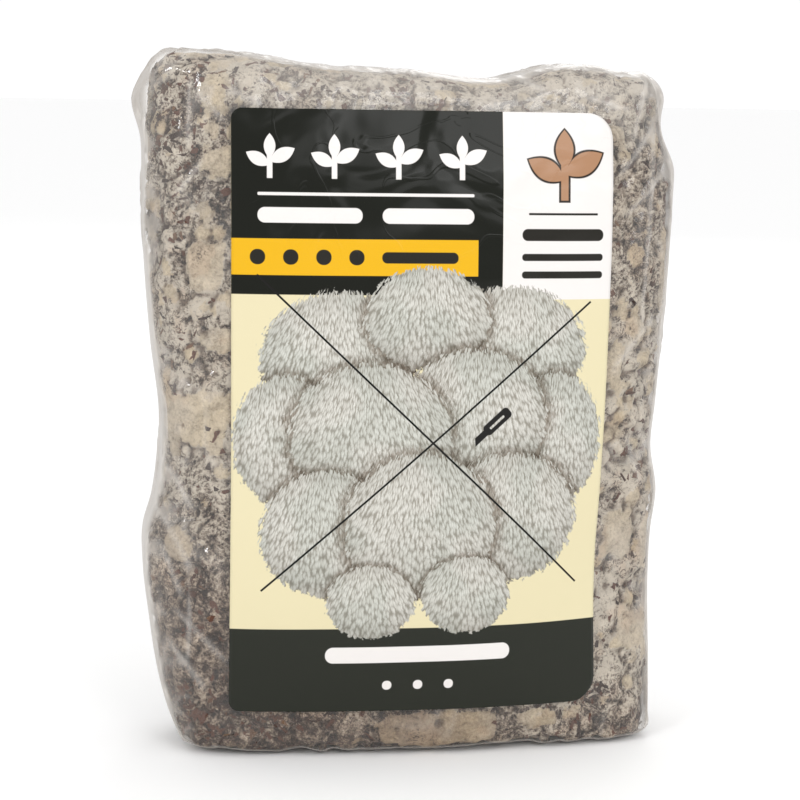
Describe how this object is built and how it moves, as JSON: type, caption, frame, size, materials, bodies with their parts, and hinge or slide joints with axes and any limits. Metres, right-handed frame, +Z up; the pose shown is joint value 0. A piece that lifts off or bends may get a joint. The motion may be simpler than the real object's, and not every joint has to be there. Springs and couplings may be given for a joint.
{
  "type": "mushroom grow kit",
  "caption": "Upright clear plastic bag drawn tight round a brick of sawdust grown through with white mycelium, with a tall printed label on its front and a filter patch and tape at the back.",
  "frame": {"origin": "on the ground, under the middle of the kit's own box", "axes": "+Z up along the kit's height, -Y out of the labelled front, +X to the right as the label is read"},
  "size_m": [0.1409, 0.057, 0.1798],
  "materials": {
    "mycelium_block": "matte brown sawdust mottled with cream and grey-white mycelium",
    "clear_film": "clear, slightly hazy polypropylene film with fine wrinkles",
    "label_stock": "glossy printed film label, cream with dark olive and yellow bands",
    "filter_paper": "white spunbond filter sheet",
    "clear_tape": "clear packing tape"
  },
  "bodies": {
    "root": {"substrate_block": "mycelium_block", "grow_bag": "clear_film", "label": "label_stock", "filter_patch": "filter_paper", "closing_tape": "clear_tape"}
  },
  "joints": []
}
